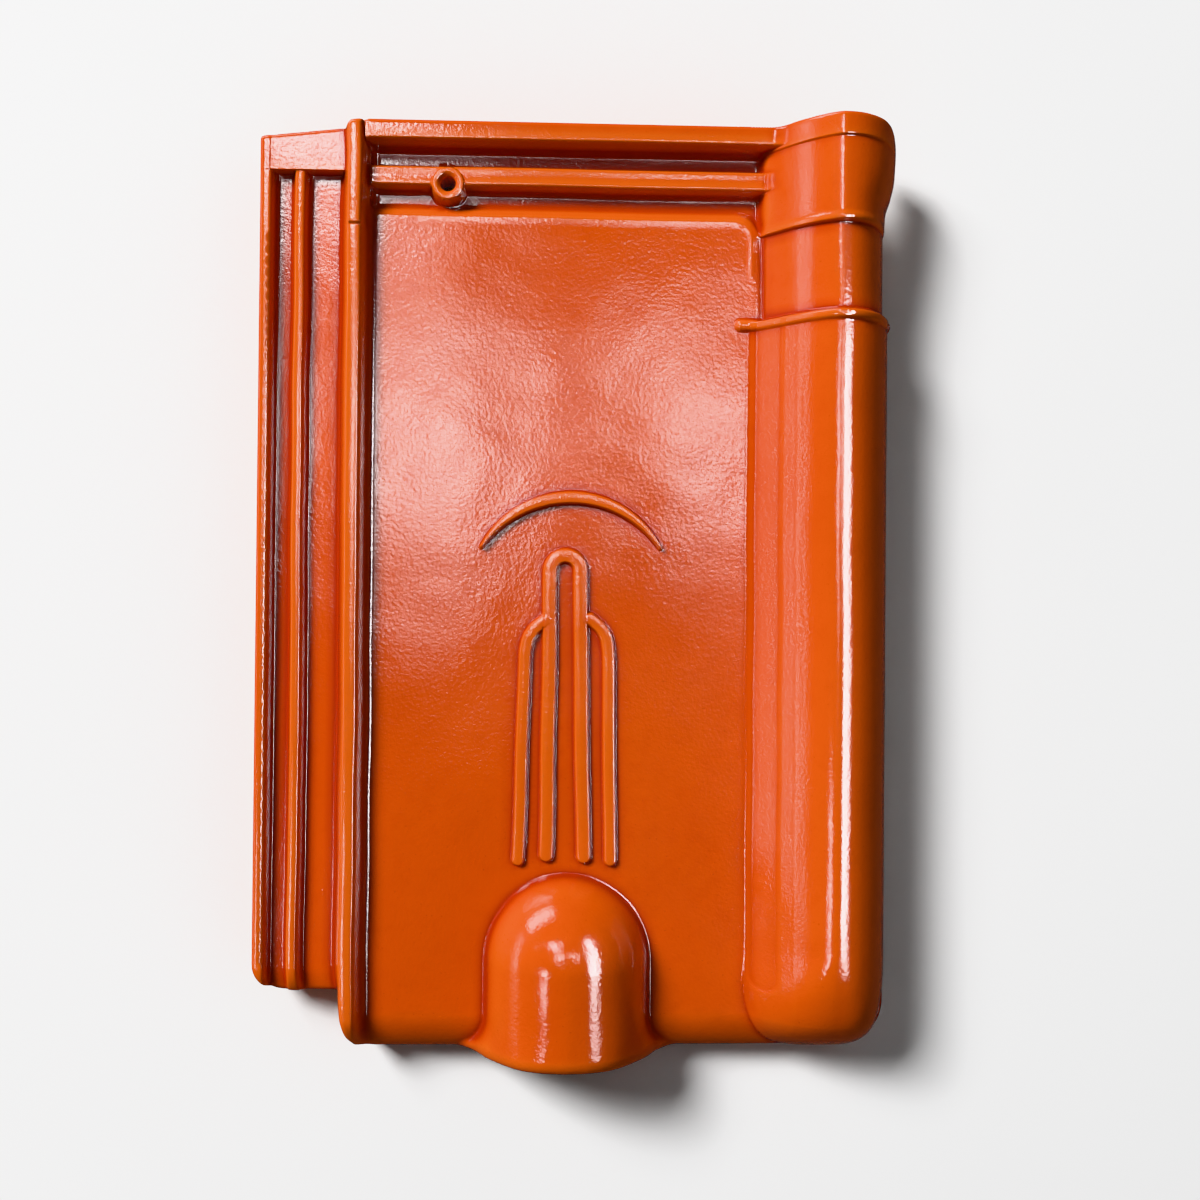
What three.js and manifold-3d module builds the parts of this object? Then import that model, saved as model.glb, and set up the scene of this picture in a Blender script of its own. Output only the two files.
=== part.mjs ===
// Glazed interlocking clay roof tile, pressed in one piece and fired.
// Millimetres, +Z up. The tile lies on its underside: +Y is the head (the ridge
// side), -Y the foot (the eaves side), -X the water lock that the next tile
// covers, +X the roll that covers the lock of its neighbour.
// Origin: centre of the bounding box in plan, at the height of the lowest face.

import * as THREE from 'three';
import { mergeVertices } from 'three/addons/utils/BufferGeometryUtils.js';
import Module from 'manifold-3d';

const wasm = await Module();
wasm.setup();

// ---------------------------------------------------------------- dimensions
// plan, measured from the centre line of the pan
const LEFT = -116.9;           // outer edge of the side lock
const RIGHT = 119.3;           // outer edge of the roll
const FLARE = 122.3;           // outer edge of the roll's head socket
const HEAD = 175.0;            // head edge
const FOOT = -172.2;           // foot edge
const LOCK_FOOT = -149.7;      // foot end of the side lock
const SHIFT_X = -(LEFT + FLARE) / 2;
const SHIFT_Y = -(HEAD + FOOT) / 2;

// heights
const PAN = 22.0;              // glazed face of the pan
const UNDER = 10.5;            // underside of the pan and of the lock
const CHANNEL = 18.0;          // floor of the water channels
const OUTER_RIB = 24.0;        // outer rib of the side lock
const INNER_RIB = 23.2;        // inner rib of the side lock
const BORDER = 31.0;           // border rib between lock and pan
const BORDER_STEP = 1.0;       // the head part of the border rib is higher
const HEAD_RIB = 31.0;         // outer rib of the head lock
const MID_RIB = 25.6;          // inner rib of the head lock
const RIM_BOTTOM = 19.0;       // lower edge of the roll's outer side
const FACE_TOP = 9.0;          // upper edge of the upright foot face

// roll
const CREST_X = 97.5;
const CREST = 47.6;            // crest of the main roll
const CREST_A = 47.9;          // crest of the head socket
const CREST_B = 45.4;          // crest of the neck
const CREST_RIM = 48.9;        // crest of the head rim
const ROLL_WALL = 10.0;
const BEAD_Y = 102.5;
const BEAD_HALF = 2.4;
const BEAD_HIGH = 1.8;
const NECK_TOP = 136.6;        // edge between head socket and neck
const RIM_Y = 166.4;           // lower edge of the head rim
const ROLL_END = -129.0;       // where the roll starts to round down
const ROLL_FOOT = -171.2;      // where it meets the foot face

// nose dome
const DOME_Y = -136.9;         // centre of the round end
const DOME_EDGE = 5.2;         // rounding of the mouth's upper edge

// relief on the pan
const RELIEF = 2.1;             // ribs
const BOW_HIGH = 2.8;          // crescent

// fixing
const NAIL = [-46.8, 153.0];
const NAIL_BORE = 6.0;
const BOSS_R = 6.2;
const BOSS_TOP = 26.6;
const NIB = { wide: 34, y0: 160.0, y1: 171.0, x: [-38.0, 38.0], draft: 1.6 };
const LIP = 12.0;              // thickness of the foot lip

// ------------------------------------------------------------------ profiles
const along = (nodes, u) => {
  if (u <= nodes[0][0]) return nodes[0][1];
  for (let i = 1; i < nodes.length; i++) {
    if (u <= nodes[i][0]) {
      const [a, za] = nodes[i - 1];
      const [b, zb] = nodes[i];
      return za + ((zb - za) * (u - a)) / (b - a);
    }
  }
  return nodes[nodes.length - 1][1];
};

// across the side lock, from its outer edge to the border rib
const lockNodes = [
  [LEFT, OUTER_RIB - 2.4], [-116.2, OUTER_RIB - 0.8], [-115.2, OUTER_RIB], [-113.1, OUTER_RIB],
  [-112.4, OUTER_RIB - 0.6], [-111.3, CHANNEL + 0.6], [-110.4, CHANNEL],
  [-105.6, CHANNEL], [-105.0, CHANNEL + 0.6], [-104.3, INNER_RIB - 0.6], [-103.5, INNER_RIB],
  [-100.7, INNER_RIB], [-99.9, INNER_RIB - 0.6], [-98.9, CHANNEL + 0.6], [-98.0, CHANNEL],
  [-87.6, CHANNEL], [-86.5, CHANNEL + 0.9], [-83.7, BORDER - 1.2], [-82.7, BORDER],
  [-78.8, BORDER], [-77.9, BORDER - 0.9],
];

// right wall of the border rib, down to the pan or to a groove of the head lock
const borderWall = [
  [-77.9, BORDER - 0.9], [-76.5, 25.4], [-75.0, 23.2], [-73.0, 22.2], [-70.0, PAN],
  [-69.0, CHANNEL + 1], [-68.0, CHANNEL - 1],
];

// along the head lock, from the pan to the head edge
const headNodes = [
  [139.5, PAN], [142.6, PAN - 0.2], [144.4, PAN - 1.2], [145.6, CHANNEL + 0.8], [146.8, CHANNEL],
  [150.8, CHANNEL], [151.4, CHANNEL + 0.6], [152.2, MID_RIB - 0.5], [153.2, MID_RIB],
  [156.0, MID_RIB - 0.4], [158.8, MID_RIB], [159.7, MID_RIB - 0.5], [160.5, CHANNEL + 1.0],
  [161.4, CHANNEL + 0.5], [166.2, CHANNEL + 0.5], [166.7, CHANNEL + 1.2], [167.5, HEAD_RIB - 0.9],
  [168.5, HEAD_RIB - 0.1], [171.0, HEAD_RIB], [173.4, HEAD_RIB - 0.4], [HEAD, HEAD_RIB - 2.2],
];

// left flank of the roll, from the centre line of the pan, as heights above the pan
const mainFlank = [
  [66.4, 0], [68.4, 1.0], [70.4, 3.1], [73.2, 6.0], [76.2, 9.2], [79.6, 12.8], [82.0, 15.3], [84.2, 17.5],
  [87.0, 20.0], [90, 22.4], [94, 24.6], [CREST_X, CREST - PAN],
];
const neckFlank = [
  [70.4, 0], [71.4, 0], [73.2, 1.3], [76.2, 5.0], [79.6, 9.3], [82.0, 12.1], [84.2, 14.4],
  [87.0, 17.0], [90, 19.5], [94, 22.1], [CREST_X, CREST_B - PAN],
];
const socketFlank = [
  [70.4, -4], [73.2, 3.4], [76.2, 7.3], [79.6, 11.7], [82.0, 14.5], [84.2, 16.8], [87.0, 19.4],
  [90, 21.9], [94, 24.5], [CREST_X, CREST_A - PAN],
];
const rightSide = [
  [0, 0], [0.045, 0.18], [0.13, 0.375], [0.245, 0.57], [0.38, 0.745], [0.53, 0.865], [0.68, 0.945],
  [0.84, 0.988], [1, 1],
];

// dome, radius to height above the pan
const domeNodes = [
  [0, 26.0], [6, 25.5], [12, 23.7], [17, 21.2], [21, 17.9], [24.5, 13.6], [27, 9.3],
  [28.8, 5.2], [30, 2.5], [31.3, 0.6], [32.6, 0],
];

// the same at the mouth, where the dome spreads like a bell into the foot
const mouthNodes = [
  [0, 26.0], [7, 25.4], [14, 23.2], [20, 18.9], [24, 14.7], [27, 11.0], [30, 7.0], [32.6, 2.2], [34, -0.4],
  [37.4, -4.4], [41.5, -9.0], [46, -20],
];

const quarter = (t) => Math.sqrt(Math.max(0, 1 - Math.min(1, Math.max(0, t)) ** 2));

// outer edge of the roll along the length: socket flare, neck, bead and main roll
const rightEdge = (y) =>
  along([[NECK_TOP - 0.6, 117.3], [NECK_TOP + 0.6, 117.7], [145, 118.2], [150, 120.4], [156, 121.7], [165, FLARE]], y);

const NONE = -99;               // no roll here
// height above the pan of a section with the given flank, crest and right edge
function section(x, flank, right, crest) {
  if (x < CREST_X) return along(flank, x);
  return (crest - PAN) * along(rightSide, Math.max(0, (right - x) / (right - CREST_X)));
}

function rollTop(x, y) {
  const main = () => PAN + section(x, mainFlank, RIGHT, CREST);
  const neck = () => PAN + section(x, neckFlank, 117.3, CREST_B);
  const socket = () => PAN + section(x, socketFlank, rightEdge(y), CREST_A);
  if (y >= NECK_TOP) {
    if (x < 70.4) return NONE;
    const inner = socket();
    const drop = 1.4 * (1 - quarter((y - (HEAD - 2)) / 2.6));
    const rim = inner + (CREST_RIM - CREST_A) * along([[70.4, 0], [76.2, 1]], x) - drop;
    return along([[RIM_Y, inner], [RIM_Y + 0.6, rim]], y);
  }
  if (y >= NECK_TOP - 1.0) return along([[NECK_TOP - 1.0, neck()], [NECK_TOP, Math.max(PAN, socket())]], y);
  if (y > BEAD_Y + BEAD_HALF) return neck();
  if (y >= BEAD_Y - BEAD_HALF) {
    // the bead runs down the flank and ends on the pan in a short tail
    const bead = BEAD_HIGH * quarter((y - BEAD_Y) / BEAD_HALF);
    return x < 61.6 ? NONE : Math.max(main(), PAN) + bead * Math.min(1, (x - 61.6) / 3);
  }
  if (y > ROLL_END) return main();
  // the foot end closes as a rounded nose: the section turns about the crest on a
  // superellipse in plan, and its base drops with the rounding of the foot
  const v = (ROLL_END - y) / (ROLL_END - ROLL_FOOT);
  const low = FACE_TOP + (PAN - FACE_TOP) * quarter((-158 - y) / 14);
  if (x < CREST_X) {
    const u = (CREST_X - x) / (CREST_X - 66.4);
    const t = 1 - (u ** 3.4 + v ** 3.4) ** (1 / 3.4);
    if (t <= 0) return NONE;
    const flank = along(mainFlank, 66.4 + t * (CREST_X - 66.4));
    const turn = Math.min(1, v / (u + 1e-6)) ** 2;             // from the flank's curve to the end's curve
    return low + (flank + (CREST - PAN) * along(rightSide, t) * turn) / (1 + turn);
  }
  const u = Math.min(1, (x - CREST_X) / (RIGHT - CREST_X));
  const t = 1 - (u ** 3.2 + v ** 3.2) ** (1 / 3.2);
  return low + (CREST - PAN) * along(rightSide, Math.max(0, t));
}

function topZ(x, y) {
  let z;
  if (x <= -77.9) {
    z = along(lockNodes, x);
    // flat strip across the head end of the lock closes the channels
    if (x < -83.7) z = Math.max(z, along([[156.6, 0], [157.6, OUTER_RIB]], y));
    else z += (x > -83.6 ? BORDER_STEP : 0) * along([[135.8, 0], [136.8, 1]], y);
    if (y > HEAD - 2) z -= 0.8;
  } else {
    z = Math.max(along(borderWall, x), y > 139.5 ? along(headNodes, y) : PAN);
  }
  // the ends round over towards the foot
  if (x < -84.3) z = 14 + (z - 14) * quarter((-139.5 - y) / 11.0);
  else z = FACE_TOP + (z - FACE_TOP) * quarter((-159.5 - y) / 13.4);
  const roll = x > 61 ? rollTop(x, y) : NONE;
  z = Math.max(z, roll);
  // dome
  const r = Math.hypot(x, Math.max(0, y - DOME_Y));
  const bell = along([[-171.6, 1], [-168.6, 0.85], [-163, 0.35], [-159.5, 0.08], [-155, 0]], y);
  const dome = r < 32.6 ? along(domeNodes, r) : -0.9 * (r - 32.6);
  const h = dome + (along(mouthNodes, r) - dome) * bell;
  if (h > 0 || (bell > 0 && r < 44)) {
    const edge = DOME_EDGE * (1 - quarter((FOOT + DOME_EDGE - y) / DOME_EDGE / 1.02));
    z = Math.max(z, PAN + h - edge);
  }
  return z;
}

// -------------------------------------------------------------------- solids
function toSolid(geometry) {
  const g = geometry.clone();
  g.deleteAttribute('normal');
  g.deleteAttribute('uv');
  const m = mergeVertices(g, 1e-4);
  return new wasm.Manifold(new wasm.Mesh({
    numProp: 3,
    vertProperties: new Float32Array(m.attributes.position.array),
    triVerts: new Uint32Array(m.index.array),
  }));
}

// closed block between a flat bottom and a height function on a grid of lines
function heightBlock(xs, ys, top, bottom) {
  const nx = xs.length;
  const ny = ys.length;
  const position = [];
  for (const y of ys) for (const x of xs) position.push(x, y, top(x, y));
  for (const y of ys) for (const x of xs) position.push(x, y, bottom);
  const index = [];
  const id = (i, j, low) => (low ? nx * ny : 0) + j * nx + i;
  for (let j = 0; j < ny - 1; j++) {
    for (let i = 0; i < nx - 1; i++) {
      const [a, b, c, d] = [id(i, j), id(i + 1, j), id(i + 1, j + 1), id(i, j + 1)];
      const z = (k) => position[3 * k + 2];
      if (Math.abs(z(a) - z(c)) <= Math.abs(z(b) - z(d))) index.push(a, b, c, a, c, d);
      else index.push(a, b, d, b, c, d);
      const [e, f, g, h] = [id(i, j, 1), id(i + 1, j, 1), id(i + 1, j + 1, 1), id(i, j + 1, 1)];
      index.push(e, g, f, e, h, g);
    }
  }
  const wall = (a, b, la, lb) => index.push(a, b, la, b, lb, la);
  for (let i = 0; i < nx - 1; i++) {
    wall(id(i + 1, 0), id(i, 0), id(i + 1, 0, 1), id(i, 0, 1));
    wall(id(i, ny - 1), id(i + 1, ny - 1), id(i, ny - 1, 1), id(i + 1, ny - 1, 1));
  }
  for (let j = 0; j < ny - 1; j++) {
    wall(id(0, j), id(0, j + 1), id(0, j, 1), id(0, j + 1, 1));
    wall(id(nx - 1, j + 1), id(nx - 1, j), id(nx - 1, j + 1, 1), id(nx - 1, j, 1));
  }
  const g = new THREE.BufferGeometry();
  g.setAttribute('position', new THREE.Float32BufferAttribute(position, 3));
  g.setIndex(index);
  return toSolid(g);
}

// prism of an outline in plan
function prism(points, z0, z1) {
  const g = new THREE.ExtrudeGeometry(new THREE.Shape(points), { depth: z1 - z0, bevelEnabled: false, curveSegments: 6 });
  g.translate(0, 0, z0);
  return toSolid(g);
}

function block(x0, x1, y0, y1, z0, z1) {
  const g = new THREE.BoxGeometry(x1 - x0, y1 - y0, z1 - z0);
  g.translate((x0 + x1) / 2, (y0 + y1) / 2, (z0 + z1) / 2);
  return toSolid(g);
}

const arc = (cx, cy, rx, ry, a0, a1, n) =>
  Array.from({ length: n + 1 }, (_, i) => {
    const a = THREE.MathUtils.degToRad(a0 + ((a1 - a0) * i) / n);
    return new THREE.Vector2(cx + rx * Math.cos(a), cy + ry * Math.sin(a));
  });
const P = (x, y) => new THREE.Vector2(x, y);

// ------------------------------------------------------------------ the body
const xs = [
  LEFT - 1, ...lockNodes.map((n) => n[0]), -76.5, -75.0, -73.0, -70.0, -69.0, -68.0,
  -56, -41.5, -37.4, -34, -32.6, -30, -27, -24, -20, -14, -7, 0, 7, 14, 20, 24, 27, 30, 32.6, 34, 37.4, 41.5, 61.6, 64.6, 66.4, 68.4,
  70.38, 70.4, 71.4, 73.2, 76.2, 79.6, 82.0, 84.2, 87.0, 90, 94, CREST_X, 101, 104.7, 107.8, 111, 113.9, 116.4, 118.3, RIGHT,
  120.4, 121.6, FLARE, FLARE + 1,
];
const ys = [
  FOOT - 1, FOOT, -171.6, -170.4, -168.6, -166.2, -163, -159.5, -155, -150.5, -149.0, -147.0, -144.0, -139.5,
  -134, ROLL_END, -122, -115.5, -110.5, -107.4, -104.2, -60, -10, 40, 80, BEAD_Y - BEAD_HALF - 0.02,
  BEAD_Y - BEAD_HALF, 100.9, BEAD_Y, 104.1, BEAD_Y + BEAD_HALF, BEAD_Y + BEAD_HALF + 0.02, 120, 135.6,
  NECK_TOP, 139.5, 142.6, 144.4, 145.6, 146.8, 150.8, 151.4, 152.2, 153.2, 156.0, 156.6, 157.6, 158.8, 159.7,
  160.5, 161.4, 166.2, 166.7, 167.5, 168.5, 171.0, 173.4, HEAD, HEAD + 1,
];
let body = heightBlock(xs, ys, topZ, 0);

// outline in plan, counter-clockwise from the head corner of the lock
const outline = [
  P(LEFT, 170.3), P(LEFT, -136.0), ...arc(LEFT + 11.5, -138.2, 11.5, 11.5, 185, 262, 5),
  P(-98, LOCK_FOOT), P(-84.6, LOCK_FOOT - 0.4), P(-83.2, -157.0), P(-81.4, -164.6), P(-79.4, -168.4),
  P(-77.0, -170.7), P(-73.5, -172.0), P(-68.0, FOOT), P(40, FOOT), P(78, FOOT + 0.7),
  ...arc(100.6, -151.4, 18.7, 18.9, 272, 358, 8),
  P(RIGHT, -140), P(RIGHT, BEAD_Y - BEAD_HALF), P(RIGHT + 1.2, BEAD_Y - 1.4), P(RIGHT + 1.2, BEAD_Y + 1.4),
  P(117.3, BEAD_Y + BEAD_HALF), P(117.3, NECK_TOP - 0.6), P(117.7, NECK_TOP + 0.2), P(118.2, 145), P(120.4, 150),
  P(121.7, 156), P(FLARE, 163), ...arc(FLARE - 7, 168, 7, 7, 4, 88, 5),
  P(-78.4, HEAD), P(-83.6, 174.0),
];
body = body.intersect(prism(outline, -2, 60));

// underside: the slab is cut away below the pan, leaving the lip along the foot
body = body.subtract(block(-140, 140, FOOT + LIP, 190, -5, UNDER));
body = body.subtract(block(111.6, 140, -148, 190, -5, RIM_BOTTOM));

// hollow of the roll, closed at the foot, open at the head
const innerArch = [
  [80.0, 20], [80.6, 25], [82.6, 29.6], [85.6, 33.2], [89.2, 35.8], [93.2, 37.2], [97.5, CREST - ROLL_WALL],
  [101.2, 37.0], [104.4, 35.2], [107.2, 32.2], [109.4, 28.2], [110.9, 23.8], [111.6, 20],
];
const hollowYs = [-159.5, -159.4, -158.5, -156.5, -153, -148, -141, -132, -120, 90, 140, 190];
const hollow = heightBlock(
  [79.9, ...innerArch.map((n) => n[0]), 111.7],
  hollowYs,
  (x, y) => {
    if (x < 80 || x > 111.6 || y < -159.4) return -4;
    const t = Math.min(1, Math.max(0, (-120 - y) / 39.4));
    return 4 + (along(innerArch, x) - 4) * (1 - t ** 2.6) ** (1 / 2.2);
  },
  -5,
);
body = body.subtract(hollow);

// hollow of the dome, open at the foot and below
const innerDome = [[19.6, -5], [19.6, 20], [18.6, 25.6], [16.4, 30], [13.0, 33.8], [9.0, 36.4], [4.6, 37.8], [0, 38.2]];
const round = new THREE.LatheGeometry([P(0, -5), ...innerDome.map((n) => P(n[0], n[1]))], 20);
round.rotateX(Math.PI / 2);
round.translate(0, DOME_Y, 0);
const archShape = new THREE.Shape([
  ...innerDome.map((n) => P(n[0], n[1])),
  ...innerDome.slice(0, -1).reverse().map((n) => P(-n[0], n[1])),
]);
const tunnel = new THREE.ExtrudeGeometry(archShape, { depth: 60, bevelEnabled: false });
tunnel.rotateX(Math.PI / 2);
tunnel.translate(0, DOME_Y, 0);
body = body.subtract(toSolid(round).add(toSolid(tunnel)));

// two nibs that hook over the batten, with draft on their sides
for (const cx of NIB.x) {
  const [w, d] = [NIB.wide / 2, NIB.draft];
  const section = (grow) => [P(-w - grow, 0), P(w + grow, 0), P(w + grow, NIB.y1 - NIB.y0 + grow), P(-w - grow, NIB.y1 - NIB.y0 + grow)];
  const [low, high] = [section(0), section(d)];
  const position = [];
  low.forEach((p) => position.push(cx + p.x, NIB.y0 + p.y, 0));
  high.forEach((p) => position.push(cx + p.x, NIB.y0 + p.y, UNDER + 1.5));
  const g = new THREE.BufferGeometry();
  g.setAttribute('position', new THREE.Float32BufferAttribute(position, 3));
  g.setIndex([0, 2, 1, 0, 3, 2, 4, 5, 6, 4, 6, 7, 0, 1, 5, 0, 5, 4, 1, 2, 6, 1, 6, 5, 2, 3, 7, 2, 7, 6, 3, 0, 4, 3, 4, 7]);
  body = body.add(toSolid(g));
}

// ----------------------------------------------------------- relief on the pan
// closed ribbon of the given half width around a line of points
function ribbon(points, half) {
  const n = points.length;
  const side = (sign) => points.map((p, i) => {
    const a = points[Math.max(0, i - 1)];
    const b = points[Math.min(n - 1, i + 1)];
    const t = b.clone().sub(a).normalize();
    return P(p.x - sign * t.y * half(i / (n - 1)), p.y + sign * t.x * half(i / (n - 1)));
  });
  return [...side(-1), ...side(1).reverse()];
}

// raised ribs with a slightly narrower top
function raised(points, half, high = RELIEF) {
  const low = ribbon(points, (t) => half(t) + 0.35);
  const crown = ribbon(points, (t) => Math.max(0.15, half(t) - 0.45));
  const n = low.length;
  const position = [];
  low.forEach((p) => position.push(p.x, p.y, PAN - 2));
  low.forEach((p) => position.push(p.x, p.y, PAN));
  crown.forEach((p) => position.push(p.x, p.y, PAN + high));
  const faces = THREE.ShapeUtils.triangulateShape(low, []);
  const index = [];
  for (const [a, b, c] of faces) index.push(a, c, b, a + 2 * n, b + 2 * n, c + 2 * n);
  for (let k = 0; k < 2; k++) {
    for (let i = 0; i < n; i++) {
      const j = (i + 1) % n;
      index.push(k * n + i, k * n + j, (k + 1) * n + j, k * n + i, (k + 1) * n + j, (k + 1) * n + i);
    }
  }
  const g = new THREE.BufferGeometry();
  g.setAttribute('position', new THREE.Float32BufferAttribute(position, 3));
  g.setIndex(index);
  return toSolid(g);
}

// two nested arches: the inner one joins the middle pair of ribs at the top,
// the outer pair springs from the sides of the inner one
const middle = [
  P(-8.0, -97.6), P(-7.6, -40), P(-7.4, 8.0), ...arc(-1.6, 9.0, 5.8, 5.6, 170, 10, 7), P(4.1, 7.0), P(4.4, -30), P(6.1, -98.0),
];
const leftRib = [P(-18.5, -99.4), P(-16.6, -21.0), P(-15.6, -16.2), P(-13.2, -12.6), P(-9.0, -9.4)];
const rightRib = [P(16.2, -99.2), P(14.6, -21.0), P(13.8, -15.6), P(11.6, -12.0), P(7.6, -9.0)];
body = body.add(raised(middle, () => 2.75));
for (const line of [leftRib, rightRib]) body = body.add(raised(line, () => 2.3));

// crescent above the ribs, thin at both tips
const bow = Array.from({ length: 17 }, (_, i) => {
  const a = THREE.MathUtils.degToRad(148 - (116 * i) / 16);
  return P(0.3 + 39.6 * Math.cos(a), -3.4 + 39.6 * Math.sin(a));
});
body = body.add(raised(bow, (t) => 0.6 + 1.5 * Math.sin(Math.PI * t), BOW_HIGH));

// boss and bore of the nail hole
const boss = new THREE.CylinderGeometry(BOSS_R, BOSS_R + 0.6, BOSS_TOP - 14, 24);
boss.rotateX(Math.PI / 2);
boss.translate(NAIL[0], NAIL[1], (BOSS_TOP + 14) / 2);
body = body.add(toSolid(boss));
const bore = new THREE.CylinderGeometry(NAIL_BORE / 2, NAIL_BORE / 2, 60, 20);
bore.rotateX(Math.PI / 2);
bore.translate(NAIL[0], NAIL[1], 10);
body = body.subtract(toSolid(bore));

// ------------------------------------------------------------------- the mesh
function toGeometry(solid) {
  const mesh = solid.getMesh();
  const g = new THREE.BufferGeometry();
  const position = new Float32Array(mesh.numVert * 3);
  for (let i = 0; i < mesh.numVert; i++) {
    for (let k = 0; k < 3; k++) position[3 * i + k] = mesh.vertProperties[i * mesh.numProp + k];
  }
  g.setAttribute('position', new THREE.BufferAttribute(position, 3));
  g.setIndex(new THREE.BufferAttribute(new Uint32Array(mesh.triVerts), 1));
  g.computeVertexNormals();
  return g;
}

const tile = new THREE.Mesh(
  toGeometry(body),
  new THREE.MeshStandardMaterial({ color: 0xc4521c, roughness: 0.22, metalness: 0.0 }),
);
tile.name = 'roof_tile';
tile.position.set(SHIFT_X, SHIFT_Y, 0);

const group = new THREE.Group();
group.name = 'glazed_roof_tile';
group.add(tile);

export default group;
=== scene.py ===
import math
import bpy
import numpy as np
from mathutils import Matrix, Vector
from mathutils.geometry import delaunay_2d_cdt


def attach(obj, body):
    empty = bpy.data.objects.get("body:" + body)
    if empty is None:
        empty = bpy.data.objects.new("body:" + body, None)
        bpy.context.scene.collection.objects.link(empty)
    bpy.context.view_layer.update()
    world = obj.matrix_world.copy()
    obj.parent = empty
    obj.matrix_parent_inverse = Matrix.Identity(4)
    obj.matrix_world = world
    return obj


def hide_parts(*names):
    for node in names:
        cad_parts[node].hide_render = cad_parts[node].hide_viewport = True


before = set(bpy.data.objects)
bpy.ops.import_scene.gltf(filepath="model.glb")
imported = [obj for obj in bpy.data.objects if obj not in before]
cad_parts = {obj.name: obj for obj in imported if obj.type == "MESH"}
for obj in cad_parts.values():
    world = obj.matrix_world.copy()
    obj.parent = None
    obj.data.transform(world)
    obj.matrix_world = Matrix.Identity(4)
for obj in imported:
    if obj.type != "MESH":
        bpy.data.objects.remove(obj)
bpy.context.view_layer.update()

# Glazed interlocking roof tile, pressed clay under a thick orange glaze.
# The fine mesh is two height fields over one plan outline, one for the glazed
# face and one for the underside, closed by the edge wall. Profiles are in
# millimetres in the tile's own plan frame (x from the centre line of the pan),
# and are moved to the shared frame in metres at the end.

# ---------------------------------------------------------------- dimensions
LEFT, RIGHT, FLARE = -116.9, 119.3, 122.3
HEAD, FOOT, LOCK_FOOT = 175.0, -172.2, -149.7
SHIFT = (-(LEFT + FLARE) / 2, -(HEAD + FOOT) / 2)
PAN, UNDER, CHANNEL = 22.0, 10.5, 18.0
OUTER_RIB, INNER_RIB, BORDER, HEAD_RIB, MID_RIB = 24.0, 23.2, 31.0, 31.0, 25.6
RIM_BOTTOM, FACE_TOP = 19.0, 9.0
CREST_X, CREST, CREST_A, CREST_B, CREST_RIM = 97.5, 47.6, 47.9, 45.4, 48.9
BEAD_Y, BEAD_HALF, BEAD_HIGH = 102.5, 2.3, 2.0
NECK_TOP, RIM_Y = 136.6, 166.4
ROLL_END, ROLL_FOOT = -129.0, -171.2
DOME_Y, DOME_EDGE = -136.9, 5.2
NAIL, BORE_R, BOSS_R, BOSS_TOP = (-46.8, 153.0), 3.0, 6.2, 26.6
RIB_HIGH, BOW_HIGH = 2.1, 2.8

# ------------------------------------------------------------------- helpers


def gauss(z, sigma, step):
    half = max(1, int(4 * sigma / step))
    k = np.exp(-0.5 * (np.arange(-half, half + 1) * step / sigma) ** 2)
    k /= k.sum()
    return np.convolve(np.pad(z, half, mode="edge"), k, "valid")


def soft(nodes, sigma, step=0.02, pad=3.0):
    """Profile through nodes with its corners rounded by a blur of width sigma."""
    n = np.array(nodes, float)
    t = np.arange(n[0, 0] - pad, n[-1, 0] + pad, step)
    z = gauss(np.interp(t, n[:, 0], n[:, 1]), sigma, step)
    return lambda u: np.interp(u, t, z)


def monotone(nodes, start=None, end=0.0, count=1500):
    """Monotone cubic through nodes, as a lookup table."""
    x, y = np.array(nodes, float).T
    h, d = np.diff(x), np.diff(y) / np.diff(x)
    m = np.zeros(len(x))
    for i in range(1, len(x) - 1):
        if d[i - 1] * d[i] > 0:
            w1, w2 = 2 * h[i] + h[i - 1], h[i] + 2 * h[i - 1]
            m[i] = (w1 + w2) / (w1 / d[i - 1] + w2 / d[i])
    m[0] = d[0] if start is None else start
    m[-1] = d[-1] if end is None else end
    t = np.linspace(x[0], x[-1], count)
    i = np.clip(np.searchsorted(x, t, side="right") - 1, 0, len(h) - 1)
    s = (t - x[i]) / h[i]
    z = ((1 + 2 * s) * (1 - s) ** 2 * y[i] + s * (1 - s) ** 2 * h[i] * m[i]
         + s * s * (3 - 2 * s) * y[i + 1] + s * s * (s - 1) * h[i] * m[i + 1])
    return t, z


def quarter(t):
    return np.sqrt(np.maximum(0.0, 1 - np.clip(t, 0, 1) ** 2))


def step(a, b, t):
    s = np.clip((t - a) / (b - a), 0, 1)
    return s * s * s * (s * (6 * s - 15) + 10)


def smax(a, b, k):
    """Larger of the two with a fillet of size k where they meet."""
    k = np.maximum(k, 1e-6)
    return np.maximum(a, b) + np.maximum(k - np.abs(a - b), 0) ** 2 / (4 * k)


def waves(seed, count, low, high):
    """Sum of plane waves with wavelengths between low and high, amplitude about 1."""
    r = np.random.default_rng(seed)
    length = low * (high / low) ** r.random(count)
    turn, phase = r.random(count) * 2 * np.pi, r.random(count) * 2 * np.pi
    kx, ky = 2 * np.pi / length * np.cos(turn), 2 * np.pi / length * np.sin(turn)
    amp = 1 / np.sqrt(count)

    def f(x, y):
        out = np.zeros_like(x)
        for a, b, p in zip(kx, ky, phase):
            out += np.sin(a * x + b * y + p)
        return out * amp
    return f


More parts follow.
